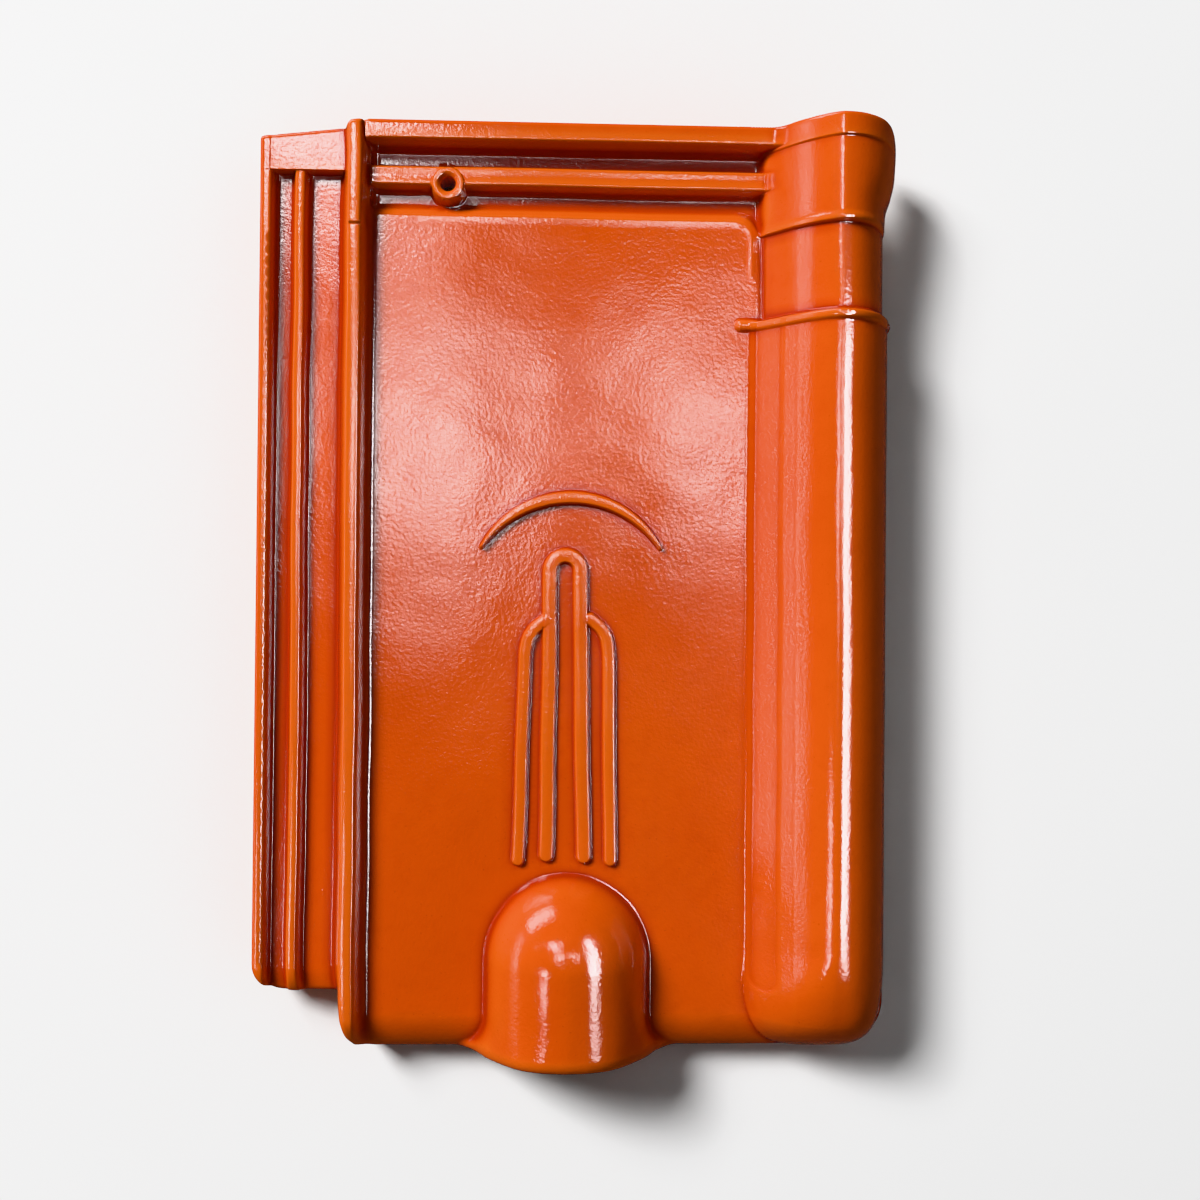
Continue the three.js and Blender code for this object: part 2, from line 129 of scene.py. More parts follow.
# ------------------------------------------------------------------ profiles
lock_profile = soft([
    (-130, OUTER_RIB), (-113.3, OUTER_RIB), (-112.5, OUTER_RIB - 0.3), (-111.2, CHANNEL + 0.3), (-110.6, CHANNEL),
    (-108.0, CHANNEL - 0.02), (-105.4, CHANNEL), (-104.9, CHANNEL + 0.3), (-104.0, INNER_RIB - 0.3),
    (-103.4, INNER_RIB), (-102.1, INNER_RIB + 0.15), (-100.7, INNER_RIB), (-100.1, INNER_RIB - 0.3),
    (-98.8, CHANNEL + 0.3), (-98.2, CHANNEL), (-93.0, CHANNEL - 0.05), (-87.4, CHANNEL), (-86.8, CHANNEL + 0.5),
    (-83.5, BORDER - 0.6), (-82.7, BORDER), (-80.7, BORDER + 0.12), (-78.8, BORDER), (-78.1, BORDER - 0.6),
    (-76.5, 25.2), (-75.1, 22.75), (-73.7, PAN), (-70.0, PAN), (-60, PAN),
], 0.42)
head_profile = soft([
    (130, PAN), (139.8, PAN), (142.4, PAN), (144.4, PAN - 1.2), (145.8, CHANNEL + 0.6), (147.0, CHANNEL),
    (150.6, CHANNEL), (151.3, CHANNEL + 0.4), (152.3, MID_RIB - 0.3), (153.2, MID_RIB), (156.0, MID_RIB - 0.25),
    (158.8, MID_RIB), (159.6, MID_RIB - 0.3), (160.5, CHANNEL + 1.0), (161.2, CHANNEL + 0.5),
    (166.2, CHANNEL + 0.5), (166.8, CHANNEL + 1.0), (167.4, HEAD_RIB - 0.5), (168.2, HEAD_RIB),
    (171.0, HEAD_RIB + 0.1), (190, HEAD_RIB),
], 0.42)



def flank(nodes, blur=0.35):
    """Left flank of the roll, height above the pan against the place across."""
    t, z = monotone(nodes, 0.0)
    z = gauss(z, blur, t[1] - t[0])
    return lambda u: np.interp(u, t, z)


main_flank = flank([(60, 0), (65.6, 0), (66.8, 0.15), (68.4, 1.1), (71, 3.75), (74, 6.9), (77, 10.05), (80, 13.2),
                    (82, 15.3), (84, 17.3), (86.5, 19.6), (89, 21.65), (91.5, 23.35), (94, 24.65), (96, 25.35), (CREST_X, 25.6)], 0.5)
neck_flank = flank([(60, 0), (71.2, 0), (72.4, 0.6), (74, 2.3), (76, 4.75), (78.5, 7.9), (81, 11.0), (83, 13.2), (85, 15.1),
                    (87.5, 17.4), (90, 19.4), (92.5, 21.15), (94.5, 22.3), (96, 23.0), (CREST_X, 23.4)], 0.5)
sock_flank = flank([(60, 0), (69.4, 0), (70.8, 0.6), (73, 3.3), (76, 7.1), (79, 11.0), (81, 13.4), (83, 15.6), (85, 17.6),
                    (87.5, 19.9), (90, 21.9), (92.5, 23.65), (94.5, 24.8), (96, 25.45), (CREST_X, 25.9)], 0.5)
t, z = monotone([(math.sqrt(a), b) for a, b in [(0, 0), (0.045, 0.18), (0.13, 0.375), (0.245, 0.57), (0.38, 0.745),
                 (0.53, 0.865), (0.68, 0.945), (0.84, 0.988), (1, 1), (1.2, 1)]], None)
z = np.where(t > 0.08, gauss(z, 0.02, t[1] - t[0]), z)
right_side = (lambda t, z: lambda u: np.interp(np.sqrt(np.maximum(u, 0)), t, z))(t, z)



def cap(nodes):
    t, z = monotone(nodes, 0.0, None)
    z = gauss(np.concatenate([z[::-1], z[1:]]), 0.7, t[1] - t[0])[len(t) - 1:]
    return lambda u: np.interp(u, t, z)


dome_side = cap([(0, 26.0), (6, 25.45), (12, 23.8), (17, 21.3), (21, 18.0), (24.5, 13.7), (27, 9.3), (28.8, 5.2),
                 (30.2, 1.3), (31.4, -2.6), (33.4, -9.5), (40, -33)])
dome_back = cap([(0, 26.0), (6, 25.2), (12, 23.0), (17, 19.9), (21, 16.5), (24.5, 12.6), (27, 9.1), (29, 5.6),
                 (30.8, 1.9), (32.2, -1.8), (34.4, -9.5), (40, -30)])


# at the mouth the dome spreads like a bell into the foot
dome_mouth = cap([(0, 26.0), (6, 25.5), (12, 24.0), (17, 21.4), (21, 17.9), (24.5, 14.0), (27, 11.0), (29.5, 7.8), (32, 3.3),
                  (34, -0.4), (37.4, -4.4), (41.5, -9.0), (46, -16)])


def dome_profile(r, x, y):
    turn = np.where(y > DOME_Y, ((y - DOME_Y) / np.maximum(r, 1e-6)) ** 2, 0.0)
    h = dome_side(r) * (1 - turn) + dome_back(r) * turn
    return h + (dome_mouth(r) - h) * step(-156.0, -171.5, y)



flare = soft([(NECK_TOP - 0.6, 117.5), (NECK_TOP + 0.6, 117.8), (145, 118.2), (150, 120.2), (156, 121.7), (165, FLARE), (185, FLARE)], 1.6)
bead_shape = soft([(-1.6, 0)] + [(s, math.sqrt(1 - s * s)) for s in np.linspace(-1, 1, 41)] + [(1.6, 0)], 0.12, 0.01)
lump = waves(11, 14, 38, 110)
ripple = waves(12, 16, 14, 34)
wander_x, wander_y = waves(13, 10, 45, 130), waves(14, 10, 45, 130)


def pan_edge(y):
    """Where the pan ends beside the neck."""
    return 70.0 + 1.2 * np.clip((133.0 - y) / 27.0, 0, 1)


def roll_height(x, y):
    """Height of the roll above the pan, 0 off it, below 0 in the channel beside it."""
    def section(left, right, crest):
        tr = np.clip((right - x) / (right - CREST_X), 0, 1)
        return np.where(x < CREST_X, left(x), (crest - PAN) * right_side(tr))
    # faint sunk band along the flank, closed by a round end near the foot, and a crease above it
    reach = np.hypot(x - 73.2, np.maximum(0, -142.6 - y))
    dip = -0.42 * (1 - step(3.4, 5.6, reach)) + 0.10 * np.exp(-((x - 83.2) / 0.8) ** 2)
    main = section(main_flank, RIGHT, CREST) + dip
    slot = (head_profile(144.9 + np.minimum(2.2, (x - pan_edge(y)) * 1.5)) - PAN) * 0.22 * (1 - step(71.8, 73.4, x))
    neck = section(neck_flank, 117.3, CREST_B) + np.where(x > 66, slot, 0) * step(136.8, 134.0, y)
    sock = section(sock_flank, flare(y), CREST_A)
    rim = sock + np.where(x < CREST_X, (CREST_RIM - CREST_A) * step(70.5, 76.5, x),
                          (CREST_RIM - CREST_A) * right_side(np.clip((flare(y) - x) / (flare(y) - CREST_X), 0, 1)))
    h = main + (neck - main) * step(102.9, 104.7, y)
    lip = step(69.0, 74.0, x) * step(122.0, 116.0, x)
    sock = sock + 0.45 * lip * np.exp(-((y - NECK_TOP - 0.9) / 1.1) ** 2)
    rim = rim + 0.05 * lip * np.exp(-((y - RIM_Y - 1.2) / 1.0) ** 2)
    h = h + (sock - h) * step(NECK_TOP - 1.0, NECK_TOP + 0.1, y)
    h = h + (rim - h) * step(RIM_Y - 0.5, RIM_Y + 0.5, y)
    bead = bead_shape(np.hypot(y - BEAD_Y, np.minimum(0, x - 63.8)) / BEAD_HALF)
    h = h + (np.maximum(h, 0) - h) * np.minimum(1, 2.5 * bead) + BEAD_HIGH * bead
    # rounded nose at the foot
    v = np.clip((ROLL_END - y) / (ROLL_END - ROLL_FOOT), 0, 2)
    wide = CREST_X - 66.0
    ul = np.maximum(0, (CREST_X - x) / wide)
    ur = np.clip((x - CREST_X) / (RIGHT - CREST_X), 0, 1)
    tl = 1 - (ul ** 3.4 + v ** 3.4) ** (1 / 3.4)
    tr = 1 - (ur ** 3.2 + v ** 3.2) ** (1 / 3.2)
    share = v * v / (ul * ul + v * v + 1e-9)
    nose_l = main_flank(66.0 + np.clip(tl, -0.2, 1) * wide) * (1 - share) + (CREST - PAN) * right_side(np.clip(tl, 0, 1)) * share
    nose = np.where(x < CREST_X, nose_l + dip * step(-168.0, -160.0, y), (CREST - PAN) * right_side(np.clip(tr, 0, 1)))
    return np.where(y < ROLL_END, nose, h)


# centre lines of the relief: two nested arches and a crescent
def arc(cx, cy, rx, ry, a0, a1, n):
    a = np.radians(np.linspace(a0, a1, n + 1))
    return np.stack([cx + rx * np.cos(a), cy + ry * np.sin(a)], 1)


def spaced(line, gap):
    line = np.array(line, float)
    s = np.concatenate([[0], np.cumsum(np.hypot(*np.diff(line, axis=0).T))])
    u = np.linspace(0, s[-1], max(2, int(round(s[-1] / gap)) + 1))
    return np.stack([np.interp(u, s, line[:, 0]), np.interp(u, s, line[:, 1])], 1)


def eased(line, sigma=1.2, gap=0.25):
    """Open line with its corners rounded."""
    p = spaced(line, gap)
    q = np.stack([gauss(p[:, k], sigma, gap) for k in (0, 1)], 1)
    w = np.minimum(1, np.minimum(np.arange(len(p)), np.arange(len(p))[::-1]) * gap / (3 * sigma))[:, None]
    return spaced(p * (1 - w) + q * w, 0.5)


middle = eased(np.concatenate([[(-8.0, -97.6), (-7.6, -40), (-7.4, 8.0)], arc(-1.6, 9.0, 5.8, 5.6, 170, 10, 12),
                               [(4.1, 7.0), (4.4, -30), (6.1, -98.0)]]), 0.8)
left_rib = eased([(-18.5, -99.4), (-16.6, -21.0), (-15.6, -16.2), (-13.2, -12.6), (-9.0, -9.4)])
right_rib = eased([(16.2, -99.2), (14.6, -21.0), (13.8, -15.6), (11.6, -12.0), (7.6, -9.0)])
bow = arc(0.3, -3.4, 39.6, 39.6, 148, 32, 150)
relief_lines = [
    (middle, np.full(len(middle), 2.55), RIB_HIGH),
    (left_rib, np.full(len(left_rib), 2.2), RIB_HIGH),
    (right_rib, np.full(len(right_rib), 2.2), RIB_HIGH),
    (bow, 0.45 + 1.75 * np.sin(np.pi * np.linspace(0, 1, len(bow))) ** 0.8, BOW_HIGH),
]


def to_line(x, y, line):
    """Distance to a line of points and place along it, for points given flat."""
    best = np.full(len(x), 1e9)
    place = np.zeros(len(x))
    a, b = line[:-1], line[1:]
    d = b - a
    l2 = (d ** 2).sum(1)
    for i in range(len(a)):
        t = np.clip(((x - a[i, 0]) * d[i, 0] + (y - a[i, 1]) * d[i, 1]) / l2[i], 0, 1)
        r = (x - a[i, 0] - t * d[i, 0]) ** 2 + (y - a[i, 1] - t * d[i, 1]) ** 2
        near = r < best
        best[near], place[near] = r[near], i + t[near]
    return np.sqrt(best), place


def relief(x, y):
    out = np.zeros_like(x)
    for line, half, high in relief_lines:
        lo, hi = line.min(0) - 6, line.max(0) + 6
        m = (x > lo[0]) & (x < hi[0]) & (y > lo[1]) & (y < hi[1])
        if not m.any():
            continue
        d, place = to_line(x[m], y[m], line)
        w = np.interp(place, np.arange(len(half)), half)
        # steep draft sides with a small fillet, slightly crowned top
        h = high * step(w + 0.75, w - 0.55, d) + 0.22 * np.maximum(0, 1 - (d / w) ** 2)
        out[m] = smax(out[m], h, np.minimum(0.6, np.minimum(out[m], h)))
    return out


def top_z(x, y, d, bump=True):
    """Glazed face. d is the distance to the outline, inside positive."""
    foot = np.maximum(0, 1 - np.clip((-157.3 - y) / 14.9, 0, 1) ** 1.7) ** (1 / 1.7)
    lock = lock_profile(x)
    cap = step(156.4, 157.8, y) * OUTER_RIB
    lock = np.where(x < -82.7, smax(lock, cap, 0.6), lock + BORDER_STEP(y) * step(-84.0, -83.2, x) * step(-76.5, -78.2, x))
    lock_side = 14 + (lock - 14) * quarter((-139.5 - y) / 11.0)
    pan_side = FACE_TOP + (lock - FACE_TOP) * foot
    z_left = np.where(x < -84.4, lock_side, pan_side)
    # grooves and ribs of the head lock run from the border rib into the roll's socket
    left_end = step(-76.4, -75.2, x)
    # the pan's corner by the roll is rounded, and the inner groove turns down beside it
    ring = (np.maximum(0, (x - 60.0) / 10.4) ** 2.6 + np.maximum(0, (y - 133.0) / 11.9) ** 2.6) ** (1 / 2.6)
    bent = np.where((x > 60) & (y < 147.2), np.maximum(y, np.minimum(133.0 + 11.9 * ring, 147.2)), y)
    bent = np.where(y > 120, bent, y)
    down = np.minimum(head_profile(bent) - PAN, 0) * left_end
    turned = 0.22 + 0.78 * step(134.5, 143.5, y)
    down = down * np.where(x > 60, 1 + (turned - 1) * step(60.0, 66.0, x), 1)
    down = down * step(73.4, 69.8, x) * np.where(x > 60, step(133.4, 136.6, y), 1)
    up = np.maximum(head_profile(y) - PAN, 0) * left_end * step(86.0, 77.0, x)
    up = up + (HEAD_RIB - PAN) * step(166.7, 168.0, y) * (1 - left_end)
    wall = lock - PAN
    h = roll_height(x, y)
    base = np.where(down < 0, np.maximum(wall + down, down),
                    smax(wall, up, np.minimum(1.2, np.minimum(np.maximum(wall, 0), up))))
    z_mid = FACE_TOP + (PAN - FACE_TOP) * foot
    mid = z_mid + np.where(x < -60, base * foot, 0)
    k = np.minimum(4.5, np.minimum(up, np.maximum(h, 0)))
    # soft raised edge round the head end of the pan
    h = h + 0.30 * np.exp(-((bent - 141.7) / 1.0) ** 2) * (y < 147) * step(-70.0, -67.0, x) * step(80.0, 72.0, x)
    mid = mid + np.where(x >= -60, np.where(up > 0, smax(up, h + down, k), h + down), 0)
    z = np.where(x < -77.0, z_left, mid)
    # relief
    m = (y < 45) & (y > -106) & (np.abs(x) < 46)
    if m.any():
        z[m] += relief(x[m], y[m])
    # dome
    r = np.hypot(x, np.maximum(0, y - DOME_Y))
    near = r < 45.0
    edge = DOME_EDGE * (1 - quarter((FOOT + DOME_EDGE - y) / DOME_EDGE / 1.02))
    dome = PAN + dome_profile(r, x, y) - edge
    z = np.where(near, smax(z, dome, 2.6), z)
    # boss of the nail hole
    rn = np.hypot(x - NAIL[0], y - NAIL[1])
    nb = rn < 12
    ring = BOSS_TOP - 8.6 * step(BOSS_R - 0.7, BOSS_R + 1.3, rn) - 0.9 * step(BORE_R + 1.5, BORE_R - 0.1, rn)
    z = np.where(nb, smax(z, ring, 0.8), z)
    z = np.where(rn < BORE_R + 1.2, ring, z)
    # rounding along the outline
    radius = np.where(x > 108, 0.55, 1.7)
    radius = np.where((x > 60) & (y > 150), 1.6, radius)
    radius = np.where(y < -168, 0.9, radius)
    e = np.clip(d, 0, None)
    drop = np.where(e < radius, radius - np.sqrt(np.maximum(0, radius ** 2 - (radius - e) ** 2)), 0)
    z = z - drop
    if bump:
        fade = step(0.5, 8, d)
        z = z + fade * (0.10 * lump(x, y) + 0.028 * ripple(x, y))
    return np.where(z > 49.1, 49.1 + 0.25 * np.tanh((z - 49.1) / 0.25), z)


def BORDER_STEP(y):
    return step(135.5, 136.9, y)


inner_arch = soft([(76.5, 8), (80.0, 9.5), (80.2, 20), (80.9, 25), (82.8, 29.4), (85.6, 33.0), (89.2, 35.7), (93.2, 37.1),
                   (97.5, 37.6), (101.2, 37.0), (104.4, 35.1), (107.2, 32.0), (109.4, 28.0), (110.9, 23.8), (111.6, 19),
                   (111.8, 14), (115, 9)], 0.7)
inner_dome = soft([(-1, 38.2), (0, 38.2), (4.6, 37.8), (9.0, 36.4), (13.0, 33.8), (16.4, 30), (18.6, 25.6), (19.5, 20),
                   (19.8, 8), (22, 2)], 0.6)
drag = waves(21, 14, 20, 70)


def under_z(x, y, d):
    """Raw underside."""
    z = UNDER + 8.5 * step(111.2, 112.6, x) * step(-149.0, -147.2, y)
    z = z - UNDER * step(-158.8, -161.0, y)
    # nibs
    for cx in (-38.0, 38.0):
        nx = np.abs(x - cx)
        ny = np.abs(y - 165.5)
        block = step(19.2, 17.2, nx) * step(7.6, 5.7, ny)
        z = z - UNDER * block
    # shallow panel between the foot lip and the nibs, as pressed tiles have
    z = z + 0.8 * step(-104, -100, x) * step(70, 66, x) * step(-150, -146, y) * step(150, 146, y)
    t = np.clip((-120 - y) / 39.4, 0, 1)
    arch = 4 + (inner_arch(x) - 4) * np.maximum(0, 1 - t ** 2.6) ** (1 / 2.2)
    arch = np.where((x > 77) & (x < 114) & (y > -159.4), arch, -5)
    z = smax(z, arch, 1.2)
    r = np.hypot(x, np.maximum(0, y - DOME_Y))
    z = np.where(r < 24, smax(z, inner_dome(r), 1.2), z)
    e = np.clip(d, 0, None)
    radius = np.where(x > 110, 0.7, 1.3)
    lift = np.where(e < radius, radius - np.sqrt(np.maximum(0, radius ** 2 - (radius - e) ** 2)), 0)
    flat = z < 0.4
    z = z + lift + np.where(flat, 0, 0.10 * drag(x, y) * step(0.5, 6, d))
    return np.maximum(z, 0)


# ------------------------------------------------------------------- outline
def closed_spaced(line, gap):
    line = np.concatenate([line, line[:1]])
    s = np.concatenate([[0], np.cumsum(np.hypot(*np.diff(line, axis=0).T))])
    n = int(round(s[-1] / gap))
    u = np.arange(n) * s[-1] / n
    return np.stack([np.interp(u, s, line[:, 0]), np.interp(u, s, line[:, 1])], 1)


def closed_blur(p, sigma, gap):
    n = len(p)
    half = int(4 * sigma / gap)
    k = np.exp(-0.5 * (np.arange(-half, half + 1) * gap / sigma) ** 2)
    k /= k.sum()
    return np.stack([np.convolve(np.concatenate([p[-half:, c], p[:, c], p[:half, c]]), k, "valid") for c in (0, 1)], 1)


rough_outline = np.concatenate([
    [(LEFT, 170.3), (LEFT, -136.0)], arc(LEFT + 11.5, -138.2, 11.5, 11.5, 185, 262, 20),
    [(-98, LOCK_FOOT), (-84.9, LOCK_FOOT - 0.3), (-83.4, -157.0), (-81.6, -164.2), (-79.4, -168.2),
     (-76.6, -170.7), (-73.2, -171.9), (-68.0, FOOT), (40, FOOT), (78, FOOT + 0.7)],
    arc(100.6, -151.4, 18.7, 18.9, 272, 358, 30),
    [(RIGHT, -140), (RIGHT, BEAD_Y - BEAD_HALF - 0.6), (RIGHT + 1.0, BEAD_Y - 1.4), (RIGHT + 1.0, BEAD_Y + 1.4),
     (117.35, BEAD_Y + BEAD_HALF + 0.4), (117.3, NECK_TOP - 1.0), (117.8, NECK_TOP + 0.2)],
    [(float(flare(v)), v) for v in np.arange(138, 164, 1.5)],
    arc(FLARE - 7, 168, 7, 7, 4, 88, 16),
    [(-77.6, HEAD), (-83.0, 174.1)],
])
fine = closed_blur(closed_spaced(rough_outline, 0.25), 0.9, 0.25)
LOOP_GAP = 1.05
loop = closed_spaced(fine, LOOP_GAP)


def normals_2d(p):
    t = np.roll(p, -1, 0) - np.roll(p, 1, 0)
    t /= np.linalg.norm(t, axis=1)[:, None]
    return np.stack([t[:, 1], -t[:, 0]], 1)  # outward for a counter-clockwise loop


loop_out = normals_2d(loop)
coarse = closed_spaced(fine, 0.6)


def outline_distance(x, y, reach=6.0):
    """Distance to the outline, inside positive, only exact within reach."""
    x, y = np.asarray(x, float), np.asarray(y, float)
    d = np.full(len(x), 99.0)
    cell = 3.0
    gx, gy = np.floor((coarse[:, 0] + 140) / cell).astype(int), np.floor((coarse[:, 1] + 190) / cell).astype(int)
    near = np.zeros((110, 140), bool)
    wide = int(math.ceil(reach / cell)) + 1
    for dx in range(-wide, wide + 1):
        for dy in range(-wide, wide + 1):
            near[np.clip(gx + dx, 0, 109), np.clip(gy + dy, 0, 139)] = True
    ix, iy = np.clip(np.floor((x + 140) / cell).astype(int), 0, 109), np.clip(np.floor((y + 190) / cell).astype(int), 0, 139)
    m = np.where(near[ix, iy])[0]
    a = coarse
    b = np.roll(coarse, -1, 0)
    seg = b - a
    l2 = (seg ** 2).sum(1)
    nrm = np.stack([seg[:, 1], -seg[:, 0]], 1) / np.sqrt(l2)[:, None]
    for lo in range(0, len(m), 4000):
        k = m[lo:lo + 4000]
        px, py = x[k][:, None], y[k][:, None]
        t = np.clip(((px - a[:, 0]) * seg[:, 0] + (py - a[:, 1]) * seg[:, 1]) / l2, 0, 1)
        ex, ey = px - a[:, 0] - t * seg[:, 0], py - a[:, 1] - t * seg[:, 1]
        r = ex * ex + ey * ey
        j = r.argmin(1)
        i = np.arange(len(k))
        side = ex[i, j] * nrm[j, 0] + ey[i, j] * nrm[j, 1]
        d[k] = np.where(side > 0, -1, 1) * np.sqrt(r[i, j])
    return d


# -------------------------------------------------------------- sample points
class Cloud:
    """Plan points for the triangulation; later sets give way to earlier ones."""

    def __init__(self):
        self.points = []
        self.taken = np.zeros((1060, 1460), bool)

    def cells(self, p):
        return (np.clip(((p[:, 0] + 132) / 0.25).astype(int), 8, 1051),
                np.clip(((p[:, 1] + 182) / 0.25).astype(int), 8, 1451))

    def add(self, p, keep, check=True):
        p = np.asarray(p, float)
        ix, iy = self.cells(p)
        if check:
            free = ~self.taken[ix, iy]
            p, ix, iy = p[free], ix[free], iy[free]
        n = int(round(keep / 0.25))
        for dx in range(-n, n + 1):
            for dy in range(-n, n + 1):
                if dx * dx + dy * dy <= n * n + 0.5:
                    self.taken[ix + dx, iy + dy] = True
        self.points.append(p)
        return len(p)


def lines_for(profile, lo, hi, tol, most, least=0.16):
    """Sample places along a profile, dense where it bends."""
    u = np.arange(lo, hi, 0.02)
    zz = profile(u)
    bend = np.abs(np.gradient(np.gradient(zz, 0.02), 0.02))
    bend = gauss(np.maximum.reduce([np.roll(bend, s) for s in (-6, -3, 0, 3, 6)]), 0.12, 0.02)
    gap = np.clip(np.sqrt(8 * tol / np.maximum(bend, 1e-6)), least, most)
    count = np.concatenate([[0], np.cumsum(0.02 / gap)])[:-1]
    n = int(count[-1]) + 1
    return np.interp(np.linspace(0, count[-1], n + 1), count, u)


def lattice(xs, ys):
    gx, gy = np.meshgrid(xs, ys)
    return np.stack([gx.ravel(), gy.ravel()], 1)


def offsets(line, half, rows, gap):
    """Rows of points beside a line, at rows times outwards from its half width, round the ends too."""
    out = []
    step_n = max(1, int(round(gap / 0.5)))
    idx = np.unique(np.concatenate([np.arange(0, len(line), step_n), [len(line) - 1]]))
    t = np.gradient(line, axis=0)
    t /= np.linalg.norm(t, axis=1)[:, None]
    n = np.stack([-t[:, 1], t[:, 0]], 1)
    for r in rows:
        for s in (1, -1):
            w = np.maximum(0.05, half + r)[:, None]
            out.append((line + s * n * w)[idx])
        for end, way in ((0, -1), (len(line) - 1, 1)):
            w = max(0.05, half[end] + r)
            count = max(3, int(math.pi * w / 0.8))
            for a in np.linspace(-math.pi / 2, math.pi / 2, count + 2)[1:-1]:
                out.append((line[end] + w * (way * t[end] * math.cos(a) + n[end] * math.sin(a)))[None])
    out.append(line[idx])
    return np.concatenate(out)


bore_n = 40
bore_a = np.arange(bore_n) * 2 * np.pi / bore_n
bore_loop = np.stack([NAIL[0] + BORE_R * np.cos(bore_a), NAIL[1] + BORE_R * np.sin(bore_a)], 1)


def triangulate(cloud):
    """Triangles over the cloud inside the outline and outside the bore.
    The first points of the cloud are the outline loop, then the bore loop."""
    pts = np.concatenate(cloud.points)
    n, m = len(loop), bore_n
    edges = [(i, (i + 1) % n) for i in range(n)] + [(n + i, n + (i + 1) % m) for i in range(m)]
    r = delaunay_2d_cdt([Vector(p) for p in pts.tolist()], edges, [], 0, 1e-6, True)
    verts = np.array([(v[0], v[1]) for v in r[0]])
    faces = np.array([f for f in r[2] if len(f) == 3])
    index = {}
    for k, ids in enumerate(r[3]):
        for i in ids:
            index[i] = k
    ring = np.array([index[i] for i in range(n)])
    hole = np.array([index[n + i] for i in range(m)])
    c = verts[faces].mean(1)
    keep = outline_distance(c[:, 0], c[:, 1]) > 0
    far = np.hypot(c[:, 0] - NAIL[0], c[:, 1] - NAIL[1]) < 8
    inside = far & (np.hypot(c[:, 0] - NAIL[0], c[:, 1] - NAIL[1]) < BORE_R * 0.995)
    inside |= ~(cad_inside(c))
    faces = faces[keep & ~inside]
    a, b, cc = verts[faces[:, 0]], verts[faces[:, 1]], verts[faces[:, 2]]
    area = (b[:, 0] - a[:, 0]) * (cc[:, 1] - a[:, 1]) - (b[:, 1] - a[:, 1]) * (cc[:, 0] - a[:, 0])
    faces[area < 0] = faces[area < 0][:, ::-1]
    return verts, faces, ring, hole


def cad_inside(c):
    """Even-odd test against the outline loop."""
    inside = np.zeros(len(c), bool)
    a, b = loop, np.roll(loop, -1, 0)
    for (x0, y0), (x1, y1) in zip(a, b):
        if y0 == y1:
            continue
        m = (c[:, 1] >= min(y0, y1)) & (c[:, 1] < max(y0, y1))
        xi = x0 + (c[m, 1] - y0) * (x1 - x0) / (y1 - y0)
        inside[m] ^= c[m, 0] < xi
    return inside


# top
top = Cloud()
top.add(loop, 0.5, False)
top.add(bore_loop, 0.5, False)
for k, depth in enumerate((0.14, 0.42, 0.85, 1.35, 1.9)):
    ring_points = loop - loop_out * depth
    good = outline_distance(ring_points[:, 0], ring_points[:, 1]) > depth * 0.93
    top.add(ring_points[good], 0.25 if k < 4 else 0.5, k > 1)
for r in (3.25, 3.6, 4.1, 4.7, 5.2, 5.6, 6.0, 6.4, 6.8, 7.2, 7.7, 8.4):
    n = int(2 * math.pi * r / 0.7)
    a = np.arange(n) * 2 * math.pi / n
    top.add(np.stack([NAIL[0] + r * np.cos(a), NAIL[1] + r * np.sin(a)], 1), 0.25)
for line, half, high in relief_lines:
    top.add(offsets(line, half, (-1.2, -0.75, -0.5, -0.3, -0.1, 0.1, 0.3, 0.5, 0.75, 1.1, 1.6), 1.0), 0.25)
for r in np.concatenate([np.arange(0.001, 24, 1.1), np.arange(24.6, 34.5, 0.5), [35.5]]):
    n = max(1, int(math.pi * r / 1.15))
    a = np.linspace(0, math.pi, n + 1)
    top.add(np.stack([r * np.cos(a), DOME_Y + r * np.sin(a)], 1), 0.25)
foot_ys = np.concatenate([np.arange(-139, -159, -1.8), np.arange(-159.5, -172, -0.75)])
dome_xs = np.concatenate([np.arange(0, 24, 1.15), np.arange(24.6, 34.5, 0.55), np.arange(35.2, 45, 0.9)])
top.add(lattice(np.concatenate([-dome_xs[::-1], dome_xs[1:]]), foot_ys), 0.25)
head_ys = lines_for(head_profile, 138.5, 174.9, 0.006, 1.6)
lock_ys = np.concatenate([np.arange(-149.0, -139, 0.75), np.arange(-138.4, 134.5, 4.4), np.arange(135, 137.4, 0.3), head_ys,
                          np.arange(155.8, 158.5, 0.3)])
lock_xs = lines_for(lock_profile, -116.6, -68, 0.0055, 2.4, 0.2)
top.add(lattice(lock_xs, np.sort(lock_ys)), 0.1)
top.add(lattice(lock_xs[lock_xs > -85], foot_ys), 0.1)
top.add(lattice(np.arange(-68, 61, 3.4), head_ys), 0.25)
top.add(lattice(np.arange(61, 86.5, 0.6), head_ys), 0.25)
roll_xs = np.concatenate([np.arange(61.0, 66, 0.9), np.arange(66.4, 82, 0.52), np.arange(82.4, 108, 1.0), np.arange(108.4, 122.4, 0.62)])
roll_ys = np.concatenate([np.arange(-171.8, -126, 0.85), np.arange(-125, 98, 2.8), np.arange(98.6, 106.2, 0.3), np.arange(107, 133, 2.4),
                          np.arange(134.6, 137.6, 0.25), np.arange(138.5, 165, 1.5), np.arange(165.4, 167.8, 0.25), np.arange(168.3, 175, 0.9)])
top.add(lattice(roll_xs, roll_ys), 0.25)
top.add(lattice(np.arange(-68, 62, 2.6), np.arange(-159.6, -172.4, -0.62)), 0.5)
top.add(lattice(np.arange(-22, 22, 1.6), np.arange(-104, 14, 2.2)), 0.9)
top.add(lattice(np.arange(-68, 62, 3.0), np.arange(-158, 139, 3.0)), 1.2)
tv, tf, t_ring, t_bore = triangulate(top)

